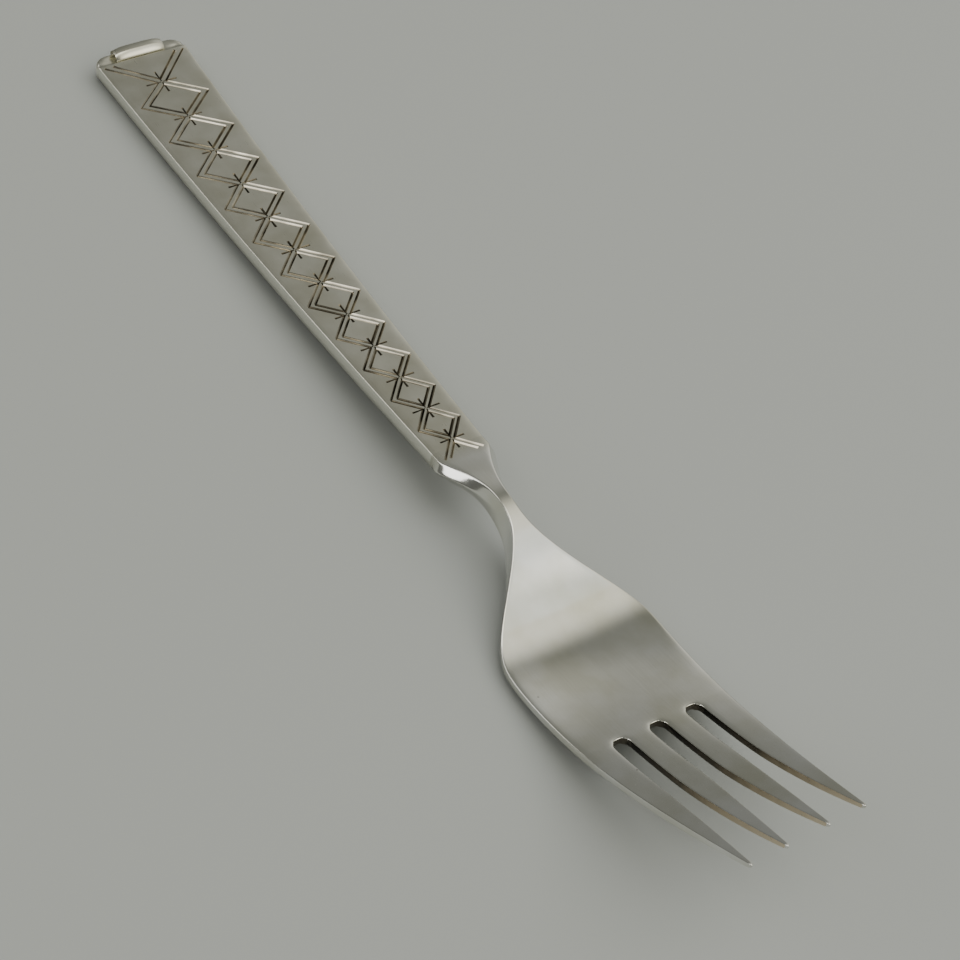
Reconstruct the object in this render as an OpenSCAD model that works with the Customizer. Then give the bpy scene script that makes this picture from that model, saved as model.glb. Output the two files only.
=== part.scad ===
// Dinner fork with a hollow handle, a rolled butt and an engraved lozenge lattice.
// Lengths are millimetres, X runs from the butt to the tips, Z is up, the fork lies on its back on z = 0.

/* [Handle] */
// Length of the two handle shells, from the butt cap's seam to the shoulder
handle_length = 108; // [80:1:130]
// Width of the handle at the butt cap's seam
butt_width = 17; // [13:0.1:22]
// Width of the handle where the neck joins it
shoulder_width = 9; // [7:0.1:13]
// Thickness of the handle over both shells
handle_thick = 3.8; // [3.2:0.1:6]
// Radius of the long upward sweep of the handle's underside
handle_radius = 1150; // [800:10:2000]
// Wall of each pressed shell
shell_wall = 0.8; // [0.6:0.05:1]
// Solder or cement line between two pieces
joint_gap = 0.05; // [0.02:0.01:0.1]

/* [Engraving] */
// Number of lozenges in the chain
lozenge_count = 11; // [6:1:14]
// Distance from the butt cap's seam to the first crossing
first_crossing = 8; // [5:0.5:14]
// Length of the first lozenge
first_pitch = 10.45; // [7:0.05:12]
// Shortening of each lozenge against the one before
pitch_step = 0.3; // [0:0.05:0.5]
// Plain margin between the lattice and the handle's side at the butt
butt_margin = 1.7; // [1:0.1:3]
// Plain margin between the lattice and the handle's side at the shoulder
shoulder_margin = 0.8; // [0.5:0.1:2]
// Distance between the two lines of a pair
line_spacing = 0.9; // [0.7:0.05:1.4]
// Width of an engraved line
line_width = 0.4; // [0.25:0.05:0.6]
// Depth of an engraved line
line_depth = 0.2; // [0.1:0.05:0.4]
// Length of each short stroke around a crossing
stroke_length = 1.4; // [0.8:0.1:2]
// Distance from the crossing to the near end of a short stroke
stroke_start = 1.3; // [1:0.1:2]

/* [Butt cap] */
// Length of the cap's end plate
cap_length = 3.3; // [3:0.1:5]
// Radius of the cap's corners in plan
cap_corner = 2.8; // [1:0.1:2.9]
// Length of the plug that goes into the shells
plug_length = 5; // [3:0.5:10]
// Length of the roll across the end
roll_length = 9.2; // [6:0.1:12]
// Radius of the roll
roll_radius = 1.3; // [1:0.1:2]
// Reach of the roll past the end plate
roll_reach = 0.7; // [0:0.1:1]
// Height of the roll's axis above the handle's face
roll_lift = -0.3; // [-0.8:0.1:0.8]

/* [Neck] */
// Length from the shoulder to the slimmest point
neck_length = 15; // [11:0.5:20]
// Length from the shoulder to the neck's crest
crest_length = 12.5; // [9:0.5:18]
// Width at the slimmest point
neck_width = 2.6; // [2:0.1:5]
// Height of the neck's crest above the surface that the fork lies on
neck_height = 10.7; // [8:0.1:14]
// Thickness of the neck at its crest
neck_thick = 4.2; // [3:0.1:5]

/* [Bowl] */
// Length from the slimmest point of the neck to the widest point of the bowl
bowl_length = 20.5; // [16:0.5:30]
// Greatest width of the head
head_width = 24.6; // [20:0.1:30]
// Thickness of the bowl at its lowest point
bowl_thick = 2.4; // [1.6:0.1:3.2]
// Distance from the neck's crest to the bowl's lowest point
bowl_low_length = 21.5; // [16:0.5:30]

/* [Tines] */
// Length from the bowl's widest point to the tips
tine_reach = 46.5; // [38:0.5:60]
// Length of the slots from root to tips
slot_length = 29.3; // [22:0.1:40]
// Width of a slot at its root
slot_width = 2.5; // [1.6:0.1:3]
// Distance between the slots
slot_pitch = 6; // [5:0.1:7.5]
// Height of the tips' upper face above the surface that the fork lies on
tip_height = 20; // [12:0.5:26]
// Rise of the tips' upper face for each millimetre of length
tip_slope = 0.56; // [0.3:0.02:0.8]
// Thickness of the tines at the roots
root_thick = 1.6; // [1.2:0.1:2.4]
// Thickness of the tines at the tips
tip_thick = 0.9; // [0.7:0.1:1.8]
// Width of a tine at its tip
tip_width = 0.6; // [0.5:0.1:1.6]
// Distance between the two inner tips
inner_tip_spacing = 6.5; // [5:0.1:8]
// Distance between the two outer tips
outer_tip_spacing = 17.9; // [15:0.1:22]
// Length of the tapering point of a tine
point_length = 17; // [10:0.5:22]

/* [Tang] */
// Length of the tang inside the handle
tang_length = 72; // [50:1:78]
// Width of the tang at the shoulder
tang_width = 4.6; // [3:0.1:5]
// Width of the tang at its end
tang_end_width = 3; // [2:0.1:4]
// Thickness of the tang
tang_thick = 1; // [0.8:0.1:1.2]

/* [Hidden] */
$fn = 96;
arc_sides = 720;

head_length = neck_length + bowl_length + tine_reach;
overall_length = roll_reach + cap_length + handle_length + head_length;
butt_x = -overall_length / 2;
cap_x = butt_x + roll_reach;
seam_x = cap_x + cap_length;
shoulder_x = seam_x + handle_length;
neck_x = shoulder_x + neck_length;
crest_x = shoulder_x + crest_length;
low_x = crest_x + bowl_low_length;
wide_x = neck_x + bowl_length;
tip_x = wide_x + tine_reach;
root_x = tip_x - slot_length;
tine_thinning = (tip_thick - root_thick) / slot_length;

// The handle's faces are round about one line high above the butt.
back_radius = handle_radius;
face_radius = handle_radius - handle_thick;
seam_radius = handle_radius - handle_thick / 2;
cavity_top_radius = face_radius + shell_wall;
cavity_bottom_radius = back_radius - shell_wall;
shoulder_drop = handle_radius - sqrt(face_radius * face_radius - handle_length * handle_length);
shoulder_slope = handle_length / sqrt(face_radius * face_radius - handle_length * handle_length);
plan_height = neck_height + tip_height + 20;

// Half the handle's width at a place along it.
function handle_half(x) = (butt_width + (shoulder_width - butt_width) * (x - seam_x) / handle_length) / 2;

// One smooth cubic run from a start value and slope to an end value and slope.
function ease(t, from, from_slope, to, to_slope, run) =
    from * (2 * t * t * t - 3 * t * t + 1)
    + from_slope * run * (t * t * t - 2 * t * t + t)
    + to * (3 * t * t - 2 * t * t * t)
    + to_slope * run * (t * t * t - t * t);

// Upper face of the head: up to the neck's crest, down into the bowl, up to the tips.
function head_top(x) =
    x < crest_x
    ? ease((x - shoulder_x) / crest_length, shoulder_drop, shoulder_slope, neck_height, 0, crest_length)
    : x < low_x
    ? ease((x - crest_x) / bowl_low_length, neck_height, 0, bowl_thick, 0, bowl_low_length)
    : ease((x - low_x) / (tip_x - low_x), bowl_thick, 0, tip_height, tip_slope, tip_x - low_x);

// Thickness of the head along its length.
function head_thick(x) =
    x < crest_x
    ? ease((x - shoulder_x) / crest_length, handle_thick, 0, neck_thick, 0, crest_length)
    : x < low_x
    ? ease((x - crest_x) / bowl_low_length, neck_thick, 0, bowl_thick, 0, bowl_low_length)
    : x < root_x
    ? ease((x - low_x) / (root_x - low_x), bowl_thick, 0, root_thick, tine_thinning, root_x - low_x)
    : ease((x - root_x) / slot_length, root_thick, tine_thinning, tip_thick, tine_thinning, slot_length);

// Half the head's outer width along its length.
function head_half(x) =
    x < neck_x
    ? ease((x - shoulder_x) / neck_length, shoulder_width / 2, -0.5, neck_width / 2, 0, neck_length)
    : x < wide_x
    ? ease((x - neck_x) / bowl_length, neck_width / 2, 0, head_width / 2, 0, bowl_length)
    : ease((x - wide_x) / tine_reach, head_width / 2, 0, (outer_tip_spacing + tip_width) / 2, -0.16, tine_reach);

station_count = 40;
stations = [for (i = [0 : station_count]) shoulder_x + head_length * i / station_count];

function crossing_x(i) = seam_x + first_crossing + (first_pitch + pitch_step / 2) * i - pitch_step / 2 * i * i;
function corner_x(i) = (crossing_x(i) + crossing_x(i + 1)) / 2;
function margin(x) = butt_margin + (shoulder_margin - butt_margin) * (x - seam_x) / handle_length;

// Half length and half width of a lozenge, taken midway between the two lines of its pairs.
function half_long(i) = (crossing_x(i + 1) - crossing_x(i)) / 2;
function half_wide(i) = handle_half(corner_x(i)) - margin(corner_x(i)) - 0.8 * line_spacing;
function slant(i) = norm([half_long(i), half_wide(i)]);

// A lozenge moved outwards by a distance, or inwards by a negative one.
function lozenge(i, out) = [
    [corner_x(i) - half_long(i) - out * slant(i) / half_wide(i), 0],
    [corner_x(i), half_wide(i) + out * slant(i) / half_long(i)],
    [corner_x(i) + half_long(i) + out * slant(i) / half_wide(i), 0],
    [corner_x(i), -half_wide(i) - out * slant(i) / half_long(i)]
];

// One side's outer zigzag line moved outwards by a distance: peaks over the lozenges, valleys at the crossings.
function zigzag(out) = [
    for (k = [-1 : 2 * lozenge_count + 1])
    k % 2 == 0
    ? [crossing_x(k / 2), out * slant(k / 2) / half_long(k / 2)]
    : [corner_x((k - 1) / 2), half_wide((k - 1) / 2) + out * slant((k - 1) / 2) / half_long((k - 1) / 2)]
];

module sweep_ring(inner, outer) {
    translate([seam_x, 0, handle_radius])
    rotate([90, 0, 0])
    difference() {
        cylinder(h = 3 * butt_width, r = outer, center = true, $fn = arc_sides);
        cylinder(h = 4 * butt_width, r = inner, center = true, $fn = arc_sides);
    }
}

module handle_plan(inset, from_x, to_x) {
    translate([0, 0, -1])
    linear_extrude(height = plan_height)
    polygon([
        [from_x, handle_half(from_x) - inset],
        [to_x, handle_half(to_x) - inset],
        [to_x, inset - handle_half(to_x)],
        [from_x, inset - handle_half(from_x)]
    ]);
}

// Everything under a plan shape down to the engraved depth.
module engrave() {
    intersection() {
        translate([0, 0, -1])
        linear_extrude(height = plan_height)
        children();
        sweep_ring(face_radius - 1, face_radius + line_depth);
    }
}

// The lattice: a closed lozenge in each cell, a zigzag along both sides and four strokes at each crossing.
module lattice() {
    near = line_spacing / 2 - line_width / 2;
    far = line_spacing / 2 + line_width / 2;
    for (i = [0 : lozenge_count - 1]) {
        engrave()
        difference() {
            polygon(lozenge(i, -near));
            polygon(lozenge(i, -far));
        }
    }
    upper = zigzag(far);
    lower = zigzag(near);
    count = len(upper);
    for (side = [-1, 1]) {
        engrave()
        polygon([
            for (k = [0 : 2 * count - 1])
            k < count
            ? [upper[k][0], side * upper[k][1]]
            : [lower[2 * count - 1 - k][0], side * lower[2 * count - 1 - k][1]]
        ]);
    }
    for (i = [0 : lozenge_count]) {
        for (side = [-1, 1]) {
            engrave()
            translate([crossing_x(i) + side * (stroke_start + stroke_length / 2), 0])
            square([stroke_length, line_width], center = true);
            engrave()
            translate([crossing_x(i), side * (stroke_start + stroke_length / 2)])
            square([line_width, stroke_length], center = true);
        }
    }
}

module fork_head() {
    color([0.80, 0.80, 0.78])
    union() {
        difference() {
            intersection() {
                translate([0, 0, -1])
                linear_extrude(height = plan_height)
                polygon(concat(
                    [for (x = stations) [x, head_half(x)]],
                    [for (i = [station_count : -1 : 0]) [stations[i], -head_half(stations[i])]]));
                rotate([90, 0, 0])
                linear_extrude(height = 2 * head_width, center = true)
                polygon(concat(
                    [for (x = stations) [x, head_top(x)]],
                    [for (i = [station_count : -1 : 0])
                        [stations[i], head_top(stations[i]) - head_thick(stations[i])]]));
            }
            tine_slots();
        }
        tang(0, 3);
    }
}

// The three slots: round roots, parallel sides, then the tapering points.
module tine_slots() {
    inner_edge = inner_tip_spacing / 2;
    outer_edge = outer_tip_spacing / 2;
    taper_x = tip_x - point_length;
    half = slot_width / 2;
    point = tip_width / 2;
    translate([0, 0, -2])
    linear_extrude(height = plan_height + 2)
    union() {
        for (side = [-1, 0, 1]) {
            translate([root_x + half, side * slot_pitch])
            circle(r = half);
        }
        polygon([
            [root_x + half, half], [taper_x, half], [tip_x, inner_edge - point], [tip_x + 1, inner_edge - point],
            [tip_x + 1, point - inner_edge], [tip_x, point - inner_edge], [taper_x, -half], [root_x + half, -half]
        ]);
        for (side = [-1, 1]) {
            polygon([
                [root_x + half, side * (slot_pitch - half)], [taper_x, side * (slot_pitch - half)],
                [tip_x, side * (inner_edge + point)], [tip_x + 1, side * (inner_edge + point)],
                [tip_x + 1, side * (outer_edge - point)], [tip_x, side * (outer_edge - point)],
                [taper_x, side * (slot_pitch + half)], [root_x + half, side * (slot_pitch + half)]
            ]);
        }
    }
}

// The tang follows the handle's sweep, grown by a gap for its pocket.
module tang(gap, overlap) {
    end_x = shoulder_x - tang_length - gap;
    front_x = shoulder_x + overlap;
    intersection() {
        translate([0, 0, -1])
        linear_extrude(height = plan_height)
        polygon([
            [end_x, tang_end_width / 2 + gap], [shoulder_x, tang_width / 2 + gap],
            [front_x, tang_width / 2 + gap - 0.35 * overlap], [front_x, 0.35 * overlap - tang_width / 2 - gap],
            [shoulder_x, -tang_width / 2 - gap], [end_x, -tang_end_width / 2 - gap]
        ]);
        sweep_ring(seam_radius - tang_thick / 2 - gap, seam_radius + tang_thick / 2 + gap);
    }
}

module handle_face() {
    color([0.72, 0.71, 0.66])
    difference() {
        intersection() {
            handle_plan(0, seam_x, shoulder_x - joint_gap);
            sweep_ring(face_radius, seam_radius - joint_gap / 2);
        }
        intersection() {
            handle_plan(shell_wall, seam_x - 1, shoulder_x + 1);
            sweep_ring(cavity_top_radius, seam_radius + 1);
        }
        lattice();
    }
}

module handle_back() {
    color([0.70, 0.69, 0.65])
    difference() {
        intersection() {
            handle_plan(0, seam_x, shoulder_x - joint_gap);
            sweep_ring(seam_radius + joint_gap / 2, back_radius);
        }
        intersection() {
            handle_plan(shell_wall, seam_x - 1, shoulder_x + 1);
            sweep_ring(seam_radius - 1, cavity_bottom_radius);
        }
    }
}

module butt_cap() {
    plate_half = butt_width / 2;
    plug_inset = shell_wall + joint_gap;
    color([0.74, 0.72, 0.66])
    union() {
        linear_extrude(height = handle_thick)
        difference() {
            union() {
                translate([cap_x + cap_corner, -plate_half])
                square([cap_length, butt_width]);
                translate([cap_x, cap_corner - plate_half])
                square([2 * cap_corner, butt_width - 2 * cap_corner]);
                for (side = [-1, 1]) {
                    translate([cap_x + cap_corner, side * (plate_half - cap_corner)])
                    circle(r = cap_corner);
                }
            }
            translate([seam_x - joint_gap, -butt_width])
            square([cap_length + 2 * cap_corner, 2 * butt_width]);
        }
        intersection() {
            handle_plan(plug_inset, seam_x - 1, seam_x + plug_length);
            sweep_ring(cavity_top_radius + joint_gap, cavity_bottom_radius - joint_gap);
        }
        translate([butt_x + roll_radius, 0, handle_thick + roll_lift])
        rotate([90, 0, 0])
        cylinder(h = roll_length, r = roll_radius, center = true);
    }
}

module tang_filler() {
    color([0.45, 0.38, 0.30])
    difference() {
        intersection() {
            handle_plan(shell_wall + joint_gap, seam_x + plug_length + joint_gap, shoulder_x - joint_gap);
            sweep_ring(cavity_top_radius + joint_gap, cavity_bottom_radius - joint_gap);
        }
        tang(joint_gap, 1);
    }
}

fork_head();
handle_face();
handle_back();
butt_cap();
tang_filler();
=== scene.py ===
import math
import random

import bmesh
import bpy
from mathutils import Matrix, Vector


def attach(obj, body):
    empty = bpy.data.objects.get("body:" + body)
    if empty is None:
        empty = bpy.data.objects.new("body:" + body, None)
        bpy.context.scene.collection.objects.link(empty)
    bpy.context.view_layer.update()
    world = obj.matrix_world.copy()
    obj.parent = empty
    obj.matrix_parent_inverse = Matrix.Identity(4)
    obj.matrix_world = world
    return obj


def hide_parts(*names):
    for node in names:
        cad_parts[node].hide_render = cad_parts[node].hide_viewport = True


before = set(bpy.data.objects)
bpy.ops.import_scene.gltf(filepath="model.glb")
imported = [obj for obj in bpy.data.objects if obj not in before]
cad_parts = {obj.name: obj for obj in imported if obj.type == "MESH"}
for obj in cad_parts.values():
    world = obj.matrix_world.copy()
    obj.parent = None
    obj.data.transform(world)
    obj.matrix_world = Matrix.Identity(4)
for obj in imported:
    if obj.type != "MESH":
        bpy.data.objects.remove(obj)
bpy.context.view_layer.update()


# Outer form: the silversmith files the soldered fork to one flowing form, so it is drawn once here.
# A section is drawn out from the butt to the roots of the tines, then each tine on its own, and smoothed.
# Every silver piece is cut out of this form below, and the form itself is thrown away.
MM = 0.001

# Places along the fork in millimetres, then the handle's sweep, half widths, thicknesses and heights.
BUTT, SEAM, SHOULDER, CREST, NECK = -96.3, -93.0, 15.0, 27.5, 30.5
LOW, WIDE, ROOT, TAPER, TIP = 49.0, 50.5, 67.7, 80.0, 97.0
SWEEP, FACE_SWEEP = 1150.0, 1146.2
FLANK, SLIM = 17.0, 27.5
BUTT_HALF, SHOULDER_HALF, SLIM_HALF, NECK_HALF, WIDE_HALF, TIP_HALF = 8.5, 4.5, 0.95, 1.05, 12.3, 9.1
HANDLE_THICK, CREST_THICK, BOWL_THICK, ROOT_THICK, TIP_THICK = 3.8, 4.2, 2.4, 1.6, 0.9
CREST_HIGH, TIP_HIGH, TIP_RISE = 10.7, 20.0, 0.56
SLOT_HALF, SLOT_PITCH, SLOT_SHIFT = 1.25, 6.0, -0.2
TINE_BOW, POINT_HALF, POINTS = 0.2, 0.2, (-8.9, -3.3, 3.2, 8.9)


def ease(t, start, start_slope, end, end_slope, run):
    """One smooth cubic run from a start value and slope to an end value and slope."""
    return (
        start * (2 * t**3 - 3 * t**2 + 1)
        + start_slope * run * (t**3 - 2 * t**2 + t)
        + end * (3 * t**2 - 2 * t**3)
        + end_slope * run * (t**3 - t**2)
    )


def between(x, start, end):
    """0 before start, 1 after end, straight between them."""
    return min(1.0, max(0.0, (x - start) / (end - start)))


def top_of(x):
    """Height of the upper face: along the handle's sweep, over the neck, into the bowl and up the tines."""
    if x < SHOULDER:
        return SWEEP - math.sqrt(FACE_SWEEP**2 - (x - SEAM) ** 2)
    if x < CREST:
        rise = (SHOULDER - SEAM) / math.sqrt(FACE_SWEEP**2 - (SHOULDER - SEAM) ** 2)
        run = CREST - SHOULDER
        return ease((x - SHOULDER) / run, top_of(SHOULDER - 1e-6), rise, CREST_HIGH, 0, run)
    if x < LOW:
        return ease((x - CREST) / (LOW - CREST), CREST_HIGH, 0, BOWL_THICK, 0, LOW - CREST)
    return ease((x - LOW) / (TIP - LOW), BOWL_THICK, 0, TIP_HIGH, TIP_RISE, TIP - LOW)


def thick_of(x):
    """Thickness from butt to tips."""
    if x < SHOULDER:
        return HANDLE_THICK
    if x < CREST:
        return ease((x - SHOULDER) / (CREST - SHOULDER), HANDLE_THICK, 0, CREST_THICK, 0, CREST - SHOULDER)
    if x < LOW:
        return ease((x - CREST) / (LOW - CREST), CREST_THICK, 0, BOWL_THICK, 0, LOW - CREST)
    if x < ROOT:
        return ease((x - LOW) / (ROOT - LOW), BOWL_THICK, 0, ROOT_THICK, -0.03, ROOT - LOW)
    return ease((x - ROOT) / (TIP - ROOT), ROOT_THICK, -0.03, TIP_THICK, -0.09, TIP - ROOT)


def half_of(x):
    """Half the width from butt to tips, at the upper rim."""
    if x < FLANK:
        return BUTT_HALF + (SHOULDER_HALF - BUTT_HALF) * (x - SEAM) / (SHOULDER - SEAM)
    if x < SLIM:
        return ease((x - FLANK) / (SLIM - FLANK), half_of(FLANK - 1e-6), -0.62, SLIM_HALF, 0, SLIM - FLANK)
    if x < NECK:
        return ease((x - SLIM) / (NECK - SLIM), SLIM_HALF, 0, NECK_HALF, 0.06, NECK - SLIM)
    if x < WIDE:
        return ease((x - NECK) / (WIDE - NECK), NECK_HALF, 0.06, WIDE_HALF, 0, WIDE - NECK)
    return ease((x - WIDE) / (TIP - WIDE), WIDE_HALF, 0, TIP_HALF, -0.1, TIP - WIDE)


def pick(piece, wanted, kind="VERT"):
    """Selects in edit mode the vertices, edges or faces that are wanted."""
    bpy.ops.mesh.select_mode(type=kind)
    bpy.ops.mesh.select_all(action="DESELECT")
    mesh = bmesh.from_edit_mesh(piece.data)
    mesh.normal_update()
    for part in {"VERT": mesh.verts, "EDGE": mesh.edges, "FACE": mesh.faces}[kind]:
        if wanted(part):
            part.select_set(True)
    mesh.select_flush_mode()
    bmesh.update_edit_mesh(piece.data)


def begin(name):
    """The primitive just added becomes the named piece, with its place in its mesh, open in edit mode."""
    piece = bpy.context.active_object
    piece.name = piece.data.name = name
    bpy.ops.object.transform_apply(location=True, rotation=True, scale=True)
    bpy.ops.object.mode_set(mode="EDIT")
    return piece


def apply(piece, kind, **settings):
    """Adds a modifier with its settings and applies it."""
    added = piece.modifiers.new(kind.lower(), kind)
    for key, value in settings.items():
        setattr(added, key, value)
    bpy.ops.object.modifier_apply(modifier=added.name)


def middle(face):
    """The middle of a face in millimetres."""
    return face.calc_center_median() / MM


# The section has two faces for each tine to come and one for each slot, and a line at half its thickness.
# The slots start narrow and open to a round root, and were sawn by eye a little to one side.
def slot_half(x):
    """Half the width of a slot."""
    return SLOT_HALF * max(0.5, math.sqrt(1 - (1 - between(x, ROOT, ROOT + SLOT_HALF)) ** 2))


def tine_edges(tine, x):
    """The two edges of one of the four tines, counted across the head."""
    t = between(x, TAPER, TIP)
    bow = TINE_BOW * math.sin(math.pi * t)
    left = [-half_of(x)] + [SLOT_SHIFT + c * SLOT_PITCH + slot_half(x) for c in (-1, 0, 1)]
    right = [SLOT_SHIFT + c * SLOT_PITCH - slot_half(x) for c in (-1, 0, 1)] + [half_of(x)]
    low, high, point = left[tine], right[tine], POINTS[tine]
    if tine > 0:
        low += (point - POINT_HALF - low) * t - bow
    if tine < 3:
        high += (point + POINT_HALF - high) * t + bow
    return low, high


columns = []
for tine in range(4):
    low, high = tine_edges(tine, ROOT)
    columns += [low, (low + high) / 2, high]
count = len(columns) - 1
bpy.ops.object.select_all(action="DESELECT")
bpy.ops.mesh.primitive_grid_add(
    x_subdivisions=count,
    y_subdivisions=2,
    size=1,
    location=(BUTT * MM, 0, (top_of(BUTT) - HANDLE_THICK / 2) * MM),
    rotation=(math.pi / 2, 0, math.pi / 2),
)
form = begin("outer_form")
bpy.ops.mesh.select_all(action="SELECT")
bpy.ops.transform.resize(value=(1, 2 * half_of(BUTT) * MM, HANDLE_THICK * MM))
for k in sorted(range(1, count), key=lambda k: -abs(2 * k - count)):
    even = (2 * k / count - 1) * half_of(BUTT)
    wish = columns[k] / columns[-1] * half_of(BUTT)
    pick(form, lambda v: abs(v.co.y / MM - even) < 0.01)
    bpy.ops.transform.translate(value=(0, (wish - even) * MM, 0))

# Row by row the section is drawn out to the roots of the tines.
rows = [-96.0, -95.3, -94.2, -93.4, -92.9, -92.3, -90.5]
rows += [-86, -78, -68, -57, -46, -35, -24, -13, -3, 5, 10, 13.5]
rows += [SHOULDER, 16.2, FLANK, 17.8, 19, 20.5, *range(22, 47, 2)]
rows += [48.5, 51.5, 55, 59, 63, 65.5, ROOT]
pick(form, lambda f: True, "FACE")
last = BUTT
for x in rows:
    was, now = (top_of(s) - thick_of(s) / 2 for s in (last, x))
    bpy.ops.mesh.extrude_region_move(
        TRANSFORM_OT_translate={"value": ((x - last) * MM, 0, (now - was) * MM)}
    )
    bpy.ops.transform.resize(
        value=(1, half_of(x) / half_of(last), thick_of(x) / thick_of(last)),
        center_override=(x * MM, 0, now * MM),
    )
    last = x

# Each tine is drawn out of the bowl's front about its own middle line, and bows in to its point.
tine_rows = [ROOT + 0.2, ROOT + 0.5, ROOT + 0.9, ROOT + 1.5, 71, 74, 77, TAPER]
tine_rows += [83, 86, 89, 92, 94.5, 96, 96.7, TIP]
for tine in range(4):
    low, high = tine_edges(tine, ROOT)
    pick(form, lambda f: middle(f).x > ROOT - 0.1 and low < middle(f).y < high, "FACE")
    last = ROOT
    for x in tine_rows:
        was, now = (top_of(s) - thick_of(s) / 2 for s in (last, x))
        (a, b), (c, d) = tine_edges(tine, last), tine_edges(tine, x)
        bpy.ops.mesh.extrude_region_move(
            TRANSFORM_OT_translate={"value": ((x - last) * MM, (c + d - a - b) / 2 * MM, (now - was) * MM)}
        )
        bpy.ops.transform.resize(
            value=(1, (d - c) / (b - a), thick_of(x) / thick_of(last)),
            center_override=(x * MM, (c + d) / 2 * MM, now * MM),
        )
        last = x
    bpy.ops.transform.resize(value=(1, 0.6, 0.6), center_override=(0, (c + d) / 2 * MM, now * MM))


def on_row(v, x, low, high):
    """A vertex of the row at x, from low to high through the thickness."""
    level = (v.co.z / MM - top_of(x)) / thick_of(x) + 1
    return abs(v.co.x / MM - x) < 0.01 and low < level < high


# The butt is rounded in plan and over its edge.
for x, wide, thin in ((BUTT, 0.64, 0.55), (-96.0, 0.8, 0.8), (-95.3, 0.92, 0.95), (-94.2, 0.985, 1.0)):
    pick(form, lambda v: abs(v.co.x / MM - x) < 0.01)
    bpy.ops.transform.resize(
        value=(1, wide, thin), center_override=(x * MM, 0, (top_of(x) - HANDLE_THICK / 2) * MM)
    )

# The handle's face falls off at its sides and its back is rounded.
# The neck's flanks swell below the upper rim and lean out towards the bowl.
# The bowl is dished, and its back is crowned, so that it is thin at its edge.
BELLY, DISH, CROWN = 1.2, 0.6, 0.95
FACE_IN, FACE_DOWN, BACK_IN, BACK_UP = 0.1, 0.06, 0.4, 0.6
for x in rows:
    half = half_of(x)
    handle = 1 - between(x, SHOULDER, 22)
    belly = BELLY * between(x, 15.5, 18.2) * (1 - between(x, 21, 30))
    lean = between(x, 20, 27) * (1 - between(x, 33, 42)) * (0.75 + 0.2 * between(x, 26, 33))
    dish = DISH * max(0.0, 1 - ((x - 50) / 17.5) ** 2) ** 2
    crown = CROWN * between(x, 33, 42) * (1 - between(x, 52, ROOT))
    if belly > 0 or lean > 0:
        pick(form, lambda v: on_row(v, x, 0.3, 0.7))
        bpy.ops.transform.resize(value=(1, 1 + (belly + 0.4 * lean) / half, 1), center_override=(0, 0, 0))
        bpy.ops.transform.translate(value=(0, 0, 0.4 * belly * MM))
        pick(form, lambda v: on_row(v, x, -0.2, 0.2))
        bpy.ops.transform.resize(value=(1, 1 + (lean - 0.35 * belly) / half, 1), center_override=(0, 0, 0))
    if handle > 0 and x > -93.5:
        pick(form, lambda v: on_row(v, x, 0.8, 1.2) and abs(v.co.y / MM) > 0.9 * half)
        bpy.ops.transform.resize(value=(1, 1 - FACE_IN * handle / half, 1), center_override=(0, 0, 0))
        bpy.ops.transform.translate(value=(0, 0, -FACE_DOWN * handle * MM))
        pick(form, lambda v: on_row(v, x, -0.2, 0.2) and abs(v.co.y / MM) > 0.9 * half)
        bpy.ops.transform.resize(value=(1, 1 - BACK_IN * handle / half, 1), center_override=(0, 0, 0))
        bpy.ops.transform.translate(value=(0, 0, BACK_UP * handle * MM))
    for column in columns if dish > 0 or crown > 0 else ():
        out = column / columns[-1]
        pick(form, lambda v: on_row(v, x, 0.6, 1.2) and abs(v.co.y / MM - out * half) < 0.02 * half)
        bpy.ops.transform.translate(value=(0, 0, -dish * (1 - out**2) * MM))
        pick(form, lambda v: on_row(v, x, -0.2, 0.3) and abs(v.co.y / MM / half - out) < 0.1)
        bpy.ops.transform.translate(value=(0, 0, crown * out**2 * MM))

# Behind the end of the face the butt's middle is let down for the roll, and the end stands up as a lip.
for x, wide, up in ((-95.3, 5.2, -0.5), (-94.2, 5.2, -0.6), (-93.4, 7.2, -0.6), (-92.9, 7.2, 0.28)):
    pick(form, lambda v: on_row(v, x, 0.8, 1.2) and abs(v.co.y / MM) < wide)
    bpy.ops.transform.translate(value=(0, 0, up * MM))

# The rims are broken to a small round.
bpy.ops.mesh.select_all(action="SELECT")
bpy.ops.mesh.normals_make_consistent(inside=False)


def is_rim(edge):
    """An edge between an upper or lower face and a side, or round the end of a tine."""
    near = min(v.co.x for v in edge.verts) / MM
    if len(edge.link_faces) != 2 or near < SEAM:
        return False
    flat = sorted(abs(f.normal.z) for f in edge.link_faces)
    turn = abs(edge.link_faces[0].normal.z - edge.link_faces[1].normal.z)
    forward = max(abs(f.normal.x) for f in edge.link_faces)
    belly = 16 < near < 26 and turn > 0.5
    tine_end = near > 90 and forward > 0.97
    return flat[1] - flat[0] > (0.45 if near < SHOULDER else 0.28) or belly or tine_end


RIM_ROUND = 0.28
for start, end, share in ((-93, 15, 0.9), (15, 33, 0.55), (33, 80, 1.0), (80, 92, 0.7), (92, 99, 0.35)):
    pick(form, lambda e: is_rim(e) and start <= min(v.co.x for v in e.verts) / MM + 0.01 < end, "EDGE")
    bpy.ops.transform.edge_bevelweight(value=share)
bpy.ops.object.mode_set(mode="OBJECT")
apply(
    form,
    "BEVEL",
    width=RIM_ROUND * MM,
    segments=2,
    profile=0.5,
    limit_method="WEIGHT",
    use_clamp_overlap=False,
)
apply(form, "SUBSURF", levels=2, render_levels=2)
bpy.ops.object.shade_smooth()


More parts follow.
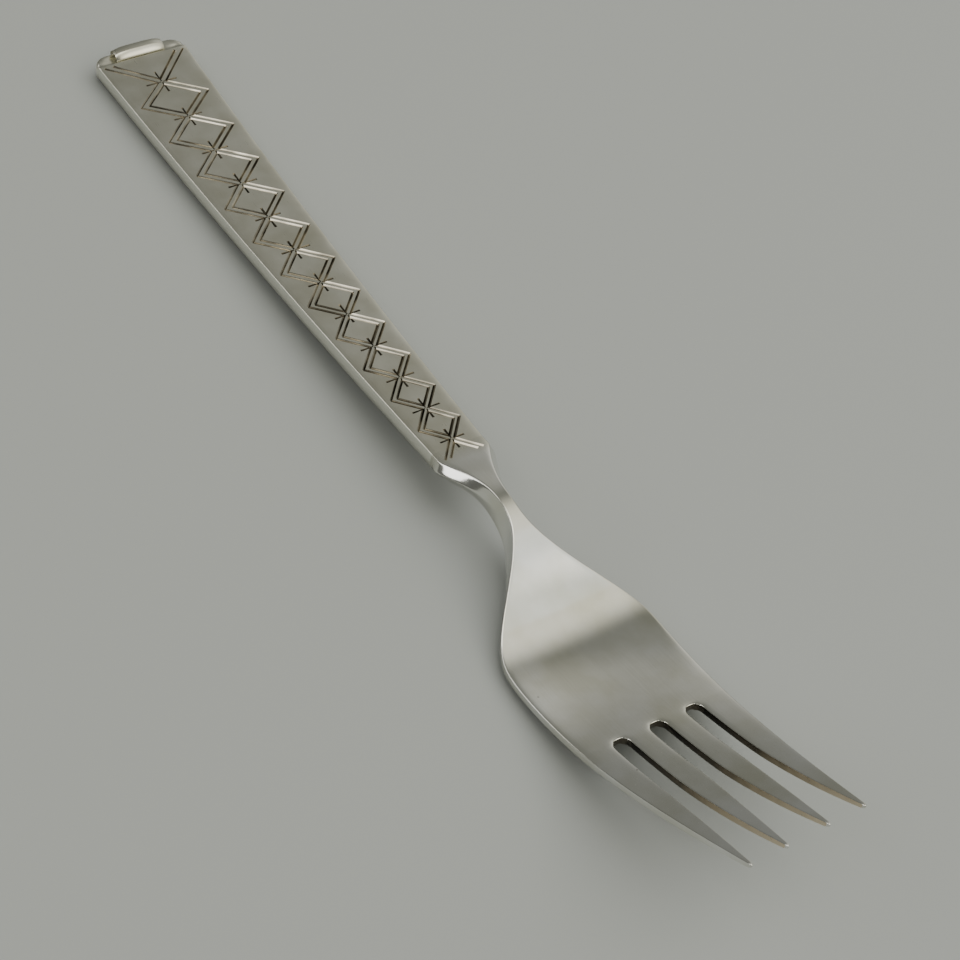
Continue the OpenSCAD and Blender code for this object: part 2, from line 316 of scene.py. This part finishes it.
def cut_out(name, start, end, fill):
    """A copy of the outer form between two places along it, open in edit mode."""
    bpy.ops.object.select_all(action="DESELECT")
    piece = bpy.data.objects.new(name, form.data.copy())
    piece.data.name = name
    bpy.context.scene.collection.objects.link(piece)
    piece.select_set(True)
    bpy.context.view_layer.objects.active = piece
    bpy.ops.object.mode_set(mode="EDIT")
    for x, outside in ((start, -1), (end, 1)):
        if x is not None:
            bpy.ops.mesh.select_all(action="SELECT")
            bpy.ops.mesh.bisect(
                plane_co=(x * MM, 0, 0),
                plane_no=(outside, 0, 0),
                use_fill=fill,
                clear_outer=True,
                threshold=1e-7,
            )
    return piece


# Fork head: tines, bowl and neck forged in one piece of silver, with a tang for the handle.
# Its faces are ground and polished, and the slots between the tines are sawn and filed.
# The tang is cemented into the hollow handle, and the shoulder is soldered to both shells.
head = cut_out("fork_head_forged", SHOULDER, None, True)
pick(head, lambda f: middle(f).x < SHOULDER + 0.01, "FACE")
bpy.ops.mesh.inset(thickness=0.05 * MM)
bpy.ops.transform.resize(value=(1, 0.52, 0.28))
TANG_END, TANG_END_WIDE, TANG_WIDE = -57.0, 3.0, 4.6
last, wide = SHOULDER, TANG_WIDE
for x in (5.0, -15.0, -35.0, TANG_END):
    narrow = TANG_END_WIDE + (TANG_WIDE - TANG_END_WIDE) * (x - TANG_END) / (SHOULDER - TANG_END)
    bpy.ops.mesh.extrude_region_move(
        TRANSFORM_OT_translate={"value": ((x - last) * MM, 0, (top_of(x) - top_of(last - 1e-6)) * MM)}
    )
    bpy.ops.transform.resize(value=(1, narrow / wide, 1))
    last, wide = x, narrow
bpy.ops.object.mode_set(mode="OBJECT")


def linear(colour):
    """An sRGB hex value as linear red, green, blue and alpha."""
    parts = [int(colour[k : k + 2], 16) / 255 for k in (1, 3, 5)]
    return [p / 12.92 if p <= 0.04045 else ((p + 0.055) / 1.055) ** 2.4 for p in parts] + [1.0]


def finish_of(name):
    """A new material of that name, its node tree, its shader and the place on the piece."""
    made = bpy.data.materials.new(name)
    made.use_nodes = True
    tree = made.node_tree
    return made, tree, tree.nodes["Principled BSDF"], add(tree, "ShaderNodeTexCoord").outputs["Object"]


def add(tree, kind, links=None, stops=(), **settings):
    """Adds a node with its settings and any colour stops, and links or sets its inputs."""
    made = tree.nodes.new(kind)
    for key, value in settings.items():
        setattr(made, key, value)
    while stops and len(made.color_ramp.elements) < len(stops):
        made.color_ramp.elements.new(0.5)
    for stop, (position, colour) in enumerate(stops):
        made.color_ramp.elements[stop].position = position
        made.color_ramp.elements[stop].color = linear(colour)
    for key, value in (links or {}).items():
        if isinstance(value, bpy.types.NodeSocket):
            tree.links.new(value, made.inputs[key])
        else:
            made.inputs[key].default_value = value
    return made


# Polished silver: bright, with hairline scratches from wiping, a faint warm bloom and a few pits.
# Just past the shoulder the handle's satin rubbing runs out into the polish.
polished, tree, shader, place = finish_of("polished_silver")
shader.inputs["Metallic"].default_value = 1
along = add(tree, "ShaderNodeSeparateXYZ", {"Vector": place}).outputs["X"]
buffed = add(
    tree, "ShaderNodeMapRange", {"Value": along, "From Min": 15.5 * MM, "From Max": 18 * MM}
).outputs["Result"]
bloom = add(
    tree, "ShaderNodeTexNoise", {"Vector": place, "Scale": 1 / (11 * MM), "Detail": 5}
).outputs["Fac"]
bright = add(
    tree, "ShaderNodeValToRGB", {"Fac": bloom}, stops=((0.34, "#d0cfc2"), (0.66, "#e5e5e2"))
).outputs["Color"]
toned = add(
    tree, "ShaderNodeMix", {0: buffed, 6: linear("#c3c2b5"), 7: bright}, data_type="RGBA"
).outputs[2]
cells = add(tree, "ShaderNodeTexVoronoi", {"Vector": place, "Scale": 1 / (3.2 * MM)}).outputs["Distance"]
pitted = add(
    tree,
    "ShaderNodeMapRange",
    {"Value": cells, "From Min": 0.025, "From Max": 0.05, "To Min": 1, "To Max": 0},
).outputs["Result"]
seldom = add(
    tree, "ShaderNodeMapRange", {"Value": bloom, "From Min": 0.5, "From Max": 0.56}
).outputs["Result"]
pits = add(tree, "ShaderNodeMath", {0: pitted, 1: seldom}, operation="MULTIPLY").outputs["Value"]
specked = add(
    tree, "ShaderNodeMix", {0: pits, 6: toned, 7: linear("#7a7466")}, data_type="RGBA"
).outputs[2]
tree.links.new(specked, shader.inputs["Base Color"])
hair = add(
    tree,
    "ShaderNodeMapping",
    {"Vector": place, "Rotation": (0, 0, 0.35), "Scale": (1 / (9 * MM), 1 / (0.25 * MM), 1 / (2 * MM))},
)
wiped = add(
    tree, "ShaderNodeTexNoise", {"Vector": hair.outputs["Vector"], "Scale": 1, "Detail": 3}
).outputs["Fac"]
gloss = add(tree, "ShaderNodeMapRange", {"Value": wiped, "To Min": 0.06, "To Max": 0.16}).outputs["Result"]
rubbed_out = add(
    tree, "ShaderNodeMapRange", {"Value": buffed, "To Min": 0.2, "To Max": 0}
).outputs["Result"]
sheen = add(tree, "ShaderNodeMath", {0: gloss, 1: rubbed_out}, operation="ADD").outputs["Value"]
tree.links.new(sheen, shader.inputs["Roughness"])
hammered = add(
    tree, "ShaderNodeTexNoise", {"Vector": place, "Scale": 1 / (7 * MM), "Detail": 2}
).outputs["Fac"]
wavy = add(
    tree, "ShaderNodeBump", {"Height": hammered, "Strength": 0.05, "Distance": 0.1 * MM}
).outputs["Normal"]
scratched = add(
    tree, "ShaderNodeBump", {"Height": wiped, "Strength": 0.13, "Distance": 0.02 * MM, "Normal": wavy}
).outputs["Normal"]
tree.links.new(scratched, shader.inputs["Normal"])
head.data.materials.append(polished)

# Saw cuts: polishing doesn't reach them, so they keep a brown tarnish towards the tips; the black at the
# roots is painted shade, where the slots lie closest to the floor and most in shade.
saw_cut_patina_and_shade, tree, shader, place = finish_of("saw_cut_patina_and_painted_shade")
shader.inputs["Metallic"].default_value = 1
along = add(tree, "ShaderNodeSeparateXYZ", {"Vector": place}).outputs["X"]
patchy = add(
    tree, "ShaderNodeTexNoise", {"Vector": place, "Scale": 1 / (1.6 * MM), "Detail": 4}
).outputs["Fac"]
reach = add(
    tree, "ShaderNodeMapRange", {"Value": along, "From Min": ROOT * MM, "From Max": TIP * MM}
).outputs["Result"]
uneven = add(
    tree, "ShaderNodeMapRange", {"Value": patchy, "To Min": -0.12, "To Max": 0.12}
).outputs["Result"]
depth = add(tree, "ShaderNodeMath", {0: reach, 1: uneven}, operation="ADD").outputs["Value"]
# Painted shade: the blackest stops near the roots stand in for the shade deep in the slots; the brown and
# pale stops towards the tips are tarnish.
patina_and_root_shade = add(
    tree,
    "ShaderNodeValToRGB",
    {"Fac": depth},
    stops=((0.02, "#6d675b"), (0.08, "#201d17"), (0.36, "#5a5244"), (0.6, "#b0a189"), (1, "#dccdb5")),
).outputs["Color"]
tree.links.new(patina_and_root_shade, shader.inputs["Base Color"])
gloss = add(
    tree, "ShaderNodeMapRange", {"Value": patchy, "To Min": 0.22, "To Max": 0.42}
).outputs["Result"]
tree.links.new(gloss, shader.inputs["Roughness"])
head.data.materials.append(saw_cut_patina_and_shade)


def is_slot_wall(face):
    """A steep face between the tines, not on the outer side of the head."""
    m, n = middle(face), face.normal
    outside = n.y * m.y > 0 and abs(m.y) > half_of(m.x) - 0.6
    return ROOT - 0.3 < m.x < TIP - 0.35 and abs(n.z) < 0.5 and not outside


bpy.ops.object.mode_set(mode="EDIT")
pick(head, is_slot_wall, "FACE")
head.active_material_index = 1
bpy.ops.object.material_slot_assign()
bpy.ops.object.mode_set(mode="OBJECT")
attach(head, "root")
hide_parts("fork_head")


# Handle back: the lower half of the hollow handle, pressed from sheet silver as a shallow tray.
# It is soldered to the face along both sides, and the seam is filed flush.
WALL = 0.55


def shell(name, upper):
    """One pressed half of the handle: the form's skin on one side of the seam, as thick as the sheet."""
    piece = cut_out(name, SEAM, SHOULDER, False)

    def other_half(face):
        m = middle(face)
        return (m.z > top_of(m.x) - HANDLE_THICK / 2) != upper

    pick(piece, other_half, "FACE")
    bpy.ops.mesh.delete(type="FACE")
    bpy.ops.object.mode_set(mode="OBJECT")
    apply(piece, "SOLIDIFY", thickness=WALL * MM, offset=-1, use_even_offset=True)
    return piece


back = shell("handle_back_pressed", False)
bpy.ops.object.shade_smooth_by_angle(angle=math.radians(40))

# Satin silver: rubbed with fine abrasive along the handle, uneven by hand, under an olive tarnish.
# The sides are painted lighter than the face, a painted sheen standing in for the brighter reflection they
# show.
satin, tree, shader, place = finish_of("satin_silver")
shader.inputs["Metallic"].default_value = 1
bloom = add(
    tree, "ShaderNodeTexNoise", {"Vector": place, "Scale": 1 / (6 * MM), "Detail": 5}
).outputs["Fac"]
tarnish = add(
    tree, "ShaderNodeValToRGB", {"Fac": bloom}, stops=((0.3, "#c3c1b2"), (0.7, "#dad9ce"))
).outputs["Color"]
spot = add(tree, "ShaderNodeSeparateXYZ", {"Vector": place})
across = add(tree, "ShaderNodeMath", {0: spot.outputs["Y"]}, operation="ABSOLUTE").outputs["Value"]
taper = (BUTT_HALF - SHOULDER_HALF) / (SHOULDER - SEAM)
outward = add(
    tree, "ShaderNodeMath", {0: spot.outputs["X"], 1: taper, 2: across}, operation="MULTIPLY_ADD"
).outputs["Value"]
side = BUTT_HALF + taper * SEAM
# Painted sheen: the handle's sides get the lighter colour below, standing in for the brighter reflection
# along them.
painted_side_sheen_mask = add(
    tree,
    "ShaderNodeMapRange",
    {"Value": outward, "From Min": (side - 0.3) * MM, "From Max": (side - 0.1) * MM},
).outputs["Result"]
tarnish_and_side_sheen = add(
    tree, "ShaderNodeMix", {0: painted_side_sheen_mask, 6: tarnish, 7: linear("#e2e1d6")}, data_type="RGBA"
).outputs[2]
tree.links.new(tarnish_and_side_sheen, shader.inputs["Base Color"])
hair = add(
    tree, "ShaderNodeMapping", {"Vector": place, "Scale": (1 / (6 * MM), 1 / (0.2 * MM), 1 / (0.2 * MM))}
)
rubbed = add(
    tree, "ShaderNodeTexNoise", {"Vector": hair.outputs["Vector"], "Scale": 1, "Detail": 3}
).outputs["Fac"]
gloss = add(tree, "ShaderNodeMapRange", {"Value": rubbed, "To Min": 0.26, "To Max": 0.31}).outputs["Result"]
tree.links.new(gloss, shader.inputs["Roughness"])
uneven = add(
    tree, "ShaderNodeTexNoise", {"Vector": place, "Scale": 1 / (7 * MM), "Detail": 2}
).outputs["Fac"]
wavy = add(
    tree, "ShaderNodeBump", {"Height": uneven, "Strength": 0.5, "Distance": 0.15 * MM}
).outputs["Normal"]
lined = add(
    tree, "ShaderNodeBump", {"Height": rubbed, "Strength": 0.015, "Distance": 0.03 * MM, "Normal": wavy}
).outputs["Normal"]
tree.links.new(lined, shader.inputs["Normal"])
back.data.materials.append(satin)
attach(back, "root")
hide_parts("handle_back")


# Handle face: the upper half of the hollow handle, pressed from sheet silver.
# A chain of lozenges in double lines is engraved in it by hand, with a cross of strokes at each crossing.
# It is soldered to the back along both sides and to the head at the shoulder, where the last lines run on.
face = shell("handle_face_engraved", True)
LOZENGES = 11
LINE_WIDE, LINE_DEEP = 0.45, 0.22
FIRST_CROSSING, STEP, STEP_LESS = 8, 10.6, 0.15
PAIR, PAIR_LESS = 1.05, 0.028
STROKE_IN, STROKE, STROKE_LESS = 0.06, 3.0, 0.07


def crossing(i):
    """Place of a crossing along the handle; the lozenges shorten towards the neck."""
    return SEAM + FIRST_CROSSING + STEP * i - STEP_LESS * i * i


def corner(i):
    """Place of a lozenge's two outer corners, midway between its crossings."""
    return (crossing(i) + crossing(i + 1)) / 2


def pair(i):
    """Distance between the two lines of a pair."""
    return PAIR - PAIR_LESS * i


def lozenge_half(i):
    """Half a lozenge's width midway between its lines, and half its length."""
    x = corner(i)
    margin = 2.42 - 0.9 * between(x, SEAM, SHOULDER)
    return half_of(x) - margin, (crossing(i + 1) - crossing(i)) / 2


# Bright-cut lines: the graver leaves shiny walls, browned by tarnish that wiping doesn't reach.
# The tarnish lies darkest at the bottom, which is measured from the middle of the face's sweep.
browned, tree, shader, place = finish_of("browned_bright_cut")
shader.inputs["Metallic"].default_value = 1
grime = add(
    tree, "ShaderNodeTexNoise", {"Vector": place, "Scale": 1 / (5 * MM), "Detail": 4}
).outputs["Fac"]
walls = add(
    tree, "ShaderNodeValToRGB", {"Fac": grime}, stops=((0.35, "#8a8577"), (0.65, "#ccc6b7"))
).outputs["Color"]
deepest = add(
    tree, "ShaderNodeValToRGB", {"Fac": grime}, stops=((0.4, "#3a352b"), (0.6, "#98917f"))
).outputs["Color"]
spot = add(tree, "ShaderNodeSeparateXYZ", {"Vector": place})
profile = add(
    tree, "ShaderNodeCombineXYZ", {"X": spot.outputs["X"], "Z": spot.outputs["Z"]}
).outputs["Vector"]
depth = add(
    tree, "ShaderNodeVectorMath", {0: profile, 1: (SEAM * MM, 0, SWEEP * MM)}, operation="DISTANCE"
).outputs["Value"]
bottom = add(
    tree,
    "ShaderNodeMapRange",
    {"Value": depth, "From Min": (FACE_SWEEP + 0.09) * MM, "From Max": (FACE_SWEEP + 0.15) * MM},
).outputs["Result"]
browning = add(tree, "ShaderNodeMix", {0: bottom, 6: walls, 7: deepest}, data_type="RGBA").outputs[2]
tree.links.new(browning, shader.inputs["Base Color"])
shader.inputs["Roughness"].default_value = 0.22

# Blackened strokes: deeper cuts, where the tarnish has gone black.
blackened, tree, shader, place = finish_of("blackened_strokes")
shader.inputs["Metallic"].default_value = 1
grime = add(
    tree, "ShaderNodeTexNoise", {"Vector": place, "Scale": 1 / (4 * MM), "Detail": 4}
).outputs["Fac"]
blackening = add(
    tree, "ShaderNodeValToRGB", {"Fac": grime}, stops=((0.35, "#2b271f"), (0.7, "#77705f"))
).outputs["Color"]
tree.links.new(blackening, shader.inputs["Base Color"])
shader.inputs["Roughness"].default_value = 0.35


def cutting_tool(name, near_wide, far_wide, run_out, lean, finish):
    """A V one unit long, wide and deep below the face, its mouth above it and its ends running out."""
    bpy.ops.object.select_all(action="DESELECT")
    bpy.ops.mesh.primitive_cube_add(size=1)
    tool = begin(name)
    pick(tool, lambda v: v.co.z > 0)
    bpy.ops.transform.resize(value=(1, 1.5, 1))
    for end, wide in ((-1, near_wide), (1, far_wide)):
        pick(tool, lambda v: v.co.x * end > 0)
        bpy.ops.transform.resize(value=(1, wide, 1))
    pick(tool, lambda v: v.co.z < 0)
    bpy.ops.transform.translate(value=(0, lean, -0.5))
    bpy.ops.transform.resize(value=(run_out, 0, 1))
    bpy.ops.mesh.remove_doubles(threshold=0.001)
    bpy.ops.object.mode_set(mode="OBJECT")
    tool.data.materials.append(finish)
    return tool


left_graver = cutting_tool("graver_leaning_left", 1, 1, 0.97, 0.25, browned)
right_graver = cutting_tool("graver_leaning_right", 1, 1, 0.97, -0.25, browned)
chisel = cutting_tool("graver_stroke", 0.5, 0.85, 0.8, 0, blackened)
hand = random.Random(5)
passes = {}


def engrave(tool, turn_of, start, end):
    """A cut in the face between two places along and across it, kept for the pass that it is made in."""
    a, b = (Vector((x, y, top_of(x))) * MM for x, y in (start, end))
    along = (b - a).normalized()
    across = Vector((0, 0, 1)).cross(along).normalized()
    wide = LINE_WIDE * hand.uniform(0.85, 1.1) * MM
    deep = LINE_DEEP * hand.uniform(0.95, 1.15) * MM
    cut = bpy.data.objects.new("cut", tool.data.copy())
    turn = Matrix((along, across, along.cross(across))).transposed().to_4x4()
    size = Matrix.Diagonal(((b - a).length, wide, deep, 1))
    cut.matrix_world = Matrix.Translation((a + b) / 2) @ turn @ size
    bpy.context.scene.collection.objects.link(cut)
    passes.setdefault(turn_of, []).append(cut)


# The first lines, one step before the first lozenge, start just inside the seam and reach further out.
FIRST_IN, FIRST_OUT = 0.8, 0.8
for i in range(-1, LOZENGES + 1):
    wide, long = lozenge_half(i)
    slant = math.hypot(wide, long)
    for out in (-pair(i) / 2, pair(i) / 2):
        outer, reach = out * slant / long, out * slant / wide
        for side, graver in ((-1, left_graver), (1, right_graver)):
            peak = (corner(i), side * (wide + outer))
            if i < 0:
                peak = (SEAM + FIRST_IN, side * (wide + outer + FIRST_OUT))
            else:
                near = (crossing(i) - reach, 0) if out < 0 else (crossing(i), side * outer)
                engrave(graver, (side, out < 0, "up"), near, peak)
            if i < LOZENGES:
                near = (crossing(i + 1) + reach, 0) if out < 0 else (crossing(i + 1), side * outer)
                engrave(graver, (side, out < 0, "down"), peak, near)
for i in range(LOZENGES + 1):
    for dx, dy in ((1, 0), (-1, 0), (0, 1), (0, -1)):
        outer = (STROKE - STROKE_LESS * i) * hand.uniform(0.85, 1.1)
        x = crossing(i)
        near = (x + STROKE_IN * dx, STROKE_IN * dy)
        engrave(chisel, (dx, dy), near, (x + outer * dx, outer * dy))

# No two cuts of a pass touch, and the passes that run over the seam also cut the head.
face.data.materials.append(satin)
for cuts in passes.values():
    bpy.ops.object.select_all(action="DESELECT")
    for cut in cuts:
        cut.select_set(True)
    bpy.context.view_layer.objects.active = cuts[0]
    bpy.ops.object.join()
    engraving = bpy.context.active_object
    bpy.ops.object.transform_apply(location=True, rotation=True, scale=True)
    reach = max(v.co.x for v in engraving.data.vertices)
    for piece in (face, head) if reach > SHOULDER * MM else (face,):
        bpy.ops.object.select_all(action="DESELECT")
        piece.select_set(True)
        bpy.context.view_layer.objects.active = piece
        apply(
            piece,
            "BOOLEAN",
            object=engraving,
            operation="DIFFERENCE",
            solver="EXACT",
            material_mode="TRANSFER",
        )
    bpy.data.objects.remove(engraving)

# The slivers that the cuts leave are cleared, and so are points that lie on a single border.
SLIVER = 0.0005
for piece in (face, head):
    bpy.ops.object.select_all(action="DESELECT")
    piece.select_set(True)
    bpy.context.view_layer.objects.active = piece
    bpy.ops.object.mode_set(mode="EDIT")
    bpy.ops.mesh.select_all(action="SELECT")
    bpy.ops.mesh.dissolve_degenerate(threshold=SLIVER * MM)
    pick(piece, lambda v: len(v.link_edges) == 2)
    bpy.ops.mesh.dissolve_verts()
    bpy.ops.object.mode_set(mode="OBJECT")
    bpy.ops.object.shade_smooth_by_angle(angle=math.radians(22))
for spent in (left_graver, right_graver, chisel):
    bpy.data.objects.remove(spent)
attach(face, "root")
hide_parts("handle_face")


# Butt cap: a cast end plate with a plug that fits the hollow handle, soldered in.
# A flattened roll of silver lies across its end, thinner towards its sides and open at both.
cap = cut_out("butt_cap_cast", None, SEAM, True)
pick(cap, lambda f: middle(f).x > SEAM - 0.01, "FACE")
bpy.ops.mesh.inset(thickness=0.05 * MM)
bpy.ops.transform.resize(value=(1, 0.88, 0.55))
PLUG = 5.0
bpy.ops.mesh.extrude_region_move(TRANSFORM_OT_translate={"value": (PLUG * MM, 0, 0)})
bpy.ops.object.mode_set(mode="OBJECT")
bpy.ops.object.select_all(action="DESELECT")
ROLL_AT, ROLL_UP, ROLL_DEEP, ROLL_WIDE, ROLL_HIGH = -95.05, 3.7, 3.3, 9.2, 2.2
bpy.ops.mesh.primitive_cube_add(
    size=1,
    location=(ROLL_AT * MM, 0, ROLL_UP * MM),
    scale=(ROLL_DEEP * MM, ROLL_WIDE * MM, ROLL_HIGH * MM),
)
roll = begin("roll")
pick(roll, lambda e: abs(e.verts[0].co.y - e.verts[1].co.y) > MM, "EDGE")
bpy.ops.mesh.bevel(offset=1.05 * MM, segments=8, profile=0.36)
pick(roll, lambda e: abs(e.verts[0].co.y - e.verts[1].co.y) > MM, "EDGE")
bpy.ops.mesh.subdivide(number_cuts=9)
for row in range(11):
    out = row / 5 - 1
    pick(roll, lambda v: abs(v.co.y / MM - ROLL_WIDE / 2 * out) < 0.01)
    bpy.ops.transform.resize(
        value=(1 - 0.12 * out**4, 1, 1 - 0.2 * out**4),
        center_override=(ROLL_AT * MM, 0, (ROLL_UP - ROLL_HIGH / 2) * MM),
    )
for side in (-1, 1):
    pick(roll, lambda f: f.normal.y * side > 0.9, "FACE")
    bpy.ops.mesh.inset(thickness=0.45 * MM)
    bpy.ops.transform.translate(value=(0, -side * 0.9 * MM, 0))
bpy.ops.object.mode_set(mode="OBJECT")
apply(roll, "BEVEL", width=0.2 * MM, segments=3, limit_method="ANGLE", angle_limit=math.radians(50))
bpy.ops.object.select_all(action="DESELECT")
cap.select_set(True)
bpy.context.view_layer.objects.active = cap
apply(cap, "BOOLEAN", object=roll, operation="UNION", solver="EXACT")
bpy.data.objects.remove(roll)
bpy.ops.object.mode_set(mode="EDIT")
bpy.ops.mesh.select_all(action="SELECT")
bpy.ops.mesh.dissolve_degenerate(threshold=SLIVER * MM)
bpy.ops.object.mode_set(mode="OBJECT")
bpy.ops.object.shade_smooth_by_angle(angle=math.radians(40))
cap.data.materials.append(satin)
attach(cap, "root")
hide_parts("butt_cap")
bpy.data.objects.remove(form)


# Cement: the hollow handle is filled with a hard brown cement that grips the tang.
# It is poured in before the cap closes the end, and nothing of it shows.
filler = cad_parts["tang_filler"]

# Hard brown cement: resin and brick dust, gritty and dull.
cement, tree, shader, place = finish_of("hard_brown_cement")
grit = add(
    tree, "ShaderNodeTexNoise", {"Vector": place, "Scale": 1 / (0.6 * MM), "Detail": 6}
).outputs["Fac"]
sandy = add(
    tree, "ShaderNodeValToRGB", {"Fac": grit}, stops=((0.3, "#5a4a3a"), (0.7, "#8a7763"))
).outputs["Color"]
tree.links.new(sandy, shader.inputs["Base Color"])
shader.inputs["Roughness"].default_value = 0.85
filler.data.materials.clear()
filler.data.materials.append(cement)


# Camera at the photograph's viewing angle.
view = bpy.data.cameras.new("camera")
view.lens, view.sensor_width = 75, 36
camera = bpy.data.objects.new("camera", view)
bpy.context.scene.collection.objects.link(camera)
yaw, pitch, tilt = (math.radians(a) for a in (141.72, 48.64, -9.08))
forward = Vector((math.cos(yaw) * math.cos(pitch), math.sin(yaw) * math.cos(pitch), -math.sin(pitch)))
level = Vector((math.sin(yaw), -math.cos(yaw), 0))
down = forward.cross(level)
right = math.cos(tilt) * level + math.sin(tilt) * down
down = -math.sin(tilt) * level + math.cos(tilt) * down
turn = Matrix((right, -down, -forward)).transposed().to_4x4()
stand = Vector((173.32, -119.68, 227.3)) * MM
camera.matrix_world = Matrix.Translation(stand) @ turn
bpy.context.scene.camera = camera

# Plain pale floor.
bpy.ops.object.select_all(action="DESELECT")
bpy.ops.mesh.primitive_plane_add(size=6)
floor = bpy.context.active_object
floor.name = "floor"
pale, _, shader, _ = finish_of("pale_floor")
shader.inputs["Base Color"].default_value = linear("#848784")
shader.inputs["Roughness"].default_value = 0.85
floor.data.materials.append(pale)

# Soft studio light: a dim room with soft glows round it, a window at one side and a broad lamp overhead.
# The overhead lamp is for the soft shadow on the floor, and the silver doesn't mirror it.
world = bpy.data.worlds.new("studio")
bpy.context.scene.world = world
world.use_nodes = True
tree = world.node_tree
toward = add(tree, "ShaderNodeTexCoord").outputs["Generated"]
bright_side = add(
    tree, "ShaderNodeVectorMath", {0: toward, 1: (0, 0.6, 0.8)}, operation="DOT_PRODUCT"
).outputs["Value"]
room = add(
    tree,
    "ShaderNodeValToRGB",
    {"Fac": bright_side},
    stops=(
        (0, "#686965"),
        (0.35, "#7c7d78"),
        (0.45, "#868782"),
        (0.6, "#868782"),
        (0.72, "#989993"),
        (0.86, "#888983"),
        (0.93, "#a2a39c"),
        (1, "#a2a39c"),
    ),
).outputs["Color"]
for way, full, faint, strength, colour in (
    ((0.43, 0.46, 0.77), 20, 54, 0.85, "#fffae8"),
    ((0.45, 0.43, 0.78), 10, 14, 0.2, "#b4d8ff"),
    ((0, -0.1, 0.99), 8, 24, 2.0, "#fffcf4"),
    ((0.78, 0.33, 0.53), 8, 26, 2.0, "#fff8ea"),
    ((-0.55, 0.72, 0.42), 8, 26, 0.5, "#fffdf4"),
    ((-0.58, -0.58, 0.57), 6, 18, 2.6, "#fffdf8"),
    ((0.14, -0.54, 0.83), 9, 18, 2.8, "#fffdf8"),
):
    facing = add(
        tree, "ShaderNodeVectorMath", {0: toward, 1: Vector(way).normalized()}, operation="DOT_PRODUCT"
    ).outputs["Value"]
    rim, core = (math.cos(math.radians(spread)) for spread in (faint, full))
    soft = add(
        tree,
        "ShaderNodeMapRange",
        {"Value": facing, "From Min": rim, "From Max": core},
        interpolation_type="SMOOTHSTEP",
    ).outputs["Result"]
    glow = [strength * part for part in linear(colour)[:3]] + [1]
    room = add(
        tree, "ShaderNodeMix", {0: soft, 6: room, 7: glow}, data_type="RGBA", blend_type="ADD"
    ).outputs[2]
tree.links.new(room, tree.nodes["Background"].inputs["Color"])
for name, spot, facing, wide, tall, power in (
    ("window", (-0.21, -1.18, 0.55), (0.18, 1, 0), 0.5, 0.41, 2.1),
    ("overhead", (0.35, 0.5, 1.15), (-0.35, -0.5, -1.15), 1.2, 1.2, 15.5),
):
    light = bpy.data.lights.new(name, "AREA")
    light.shape, light.size, light.size_y = "RECTANGLE", wide, tall
    light.energy = power
    lamp = bpy.data.objects.new(name, light)
    bpy.context.scene.collection.objects.link(lamp)
    lamp.location = spot
    lamp.rotation_euler = Vector(facing).to_track_quat("-Z", "Y").to_euler()
    lamp.visible_glossy = name == "window"
